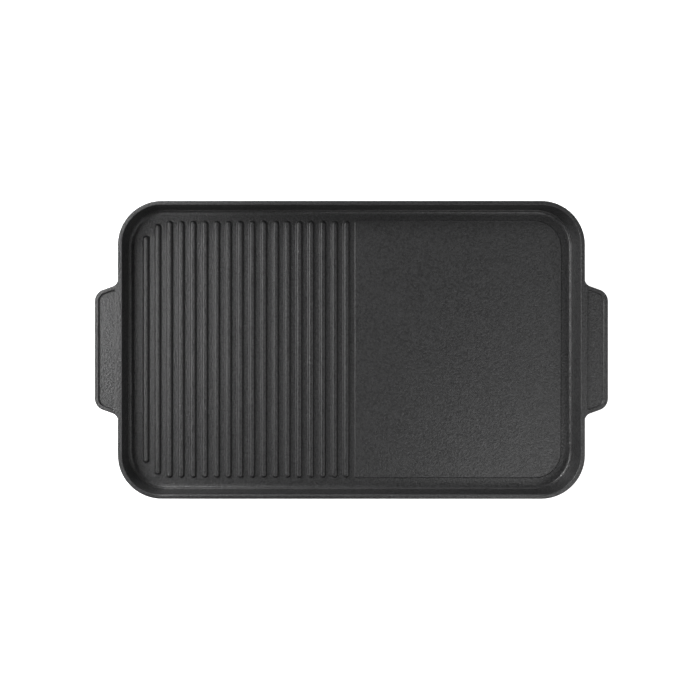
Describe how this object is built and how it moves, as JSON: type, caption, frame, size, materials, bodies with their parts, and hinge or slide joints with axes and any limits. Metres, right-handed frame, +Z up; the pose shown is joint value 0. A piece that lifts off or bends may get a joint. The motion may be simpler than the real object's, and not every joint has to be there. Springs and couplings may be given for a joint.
{
  "type": "electric griddle",
  "caption": "Rectangular table griddle: lift-off cast plate, half ribbed and half flat, with end ears, over a low heated base with a knob.",
  "frame": {"origin": "centre of the footprint, on the surface the feet stand on", "axes": "+X along the plate towards its flat half, +Y to the back, where the mains inlet is, +Z up"},
  "size_m": [0.513, 0.298, 0.094],
  "materials": {
    "plate_coating": "dark non-stick coating, fine granular, satin",
    "housing_plastic": "moulded, fine spark texture",
    "cover_sheet": "zinc-plated sheet",
    "foot_rubber": "matt",
    "pad_silicone": "matt heat-resistant silicone",
    "pan_sheet": "aluminised sheet",
    "bracket_sheet": "plain sheet",
    "element_sheath": "dark oxidised sheath",
    "seal_ceramic": "unglazed",
    "thermostat_case": "unglazed",
    "terminal_nickel": "nickel plated",
    "screw_nickel": "nickel plated",
    "shaft_steel": "turned",
    "knob_plastic": "satin",
    "panel_print": "matt printed panel",
    "lens_red": "translucent red",
    "lamp_glass": "neon lamp",
    "sensor_aluminium": "turned",
    "spring_steel": "drawn wire",
    "capillary_copper": "drawn copper",
    "inlet_plastic": "satin",
    "fuse_body": "matt",
    "wire_brown": "silicone sleeve",
    "wire_blue": "silicone sleeve",
    "wire_green": "silicone sleeve",
    "wire_white": "glass-fibre sleeve"
  },
  "bodies": {
    "base": {"base_housing": "housing_plastic", "bottom_cover": "cover_sheet", "foot_front_left": "foot_rubber", "foot_front_right": "foot_rubber", "foot_back_left": "foot_rubber", "foot_back_right": "foot_rubber", "plate_pad_front_left": "pad_silicone", "plate_pad_front_right": "pad_silicone", "plate_pad_back_left": "pad_silicone", "plate_pad_back_right": "pad_silicone", "cover_screw_1": "screw_nickel", "cover_screw_2": "screw_nickel", "cover_screw_3": "screw_nickel", "cover_screw_4": "screw_nickel", "pan_screw_1": "screw_nickel", "pan_screw_2": "screw_nickel", "pan_screw_3": "screw_nickel", "pan_screw_4": "screw_nickel", "inlet_screw_left": "screw_nickel", "inlet_screw_right": "screw_nickel", "earth_screw": "screw_nickel", "earth_nut": "screw_nickel", "thermostat_nut": "screw_nickel", "element_rivet_left": "screw_nickel", "element_rivet_right": "screw_nickel", "reflector_pan": "pan_sheet", "element_flange": "bracket_sheet", "element_rack_left": "bracket_sheet", "element_rack_right": "bracket_sheet", "sensor_holder": "bracket_sheet", "heating_element": "element_sheath", "element_seal_left": "seal_ceramic", "element_seal_right": "seal_ceramic", "thermostat_body": "thermostat_case", "element_terminal_left": "terminal_nickel", "element_terminal_right": "terminal_nickel", "inlet_pin_live": "terminal_nickel", "inlet_pin_neutral": "terminal_nickel", "inlet_pin_earth": "terminal_nickel", "earth_lug": "terminal_nickel", "control_panel": "panel_print", "pilot_lens": "lens_red", "pilot_lamp": "lamp_glass", "sensor_spring": "spring_steel", "capillary_tube": "capillary_copper", "mains_inlet": "inlet_plastic", "thermal_fuse": "fuse_body", "wire_live": "wire_brown", "wire_fuse": "wire_brown", "wire_neutral": "wire_blue", "wire_earth": "wire_green", "wire_switched": "wire_white", "pilot_lead_1": "wire_white", "pilot_lead_2": "wire_white"},
    "plate": {"griddle_plate": "plate_coating"},
    "knob": {"control_knob": "knob_plastic", "thermostat_shaft": "shaft_steel"},
    "sensor": {"sensor_cup": "sensor_aluminium"}
  },
  "joints": [
    {"name": "plate_lift", "type": "slide", "parent": "base", "child": "plate", "axis": [0, 0, 1], "range_m": [0, 0.12]},
    {"name": "knob_turn", "type": "hinge", "parent": "base", "child": "knob", "pos_m": [0, -0.12, 0.0285], "axis": [0, 1, 0], "range_deg": [0, 270]},
    {"name": "sensor_travel", "type": "slide", "parent": "base", "child": "sensor", "axis": [0, 0, 1], "range_m": [-0.003, 0], "stiffness_N_per_m": 200, "springref_m": 0.003, "deforming": ["sensor_spring"]}
  ]
}
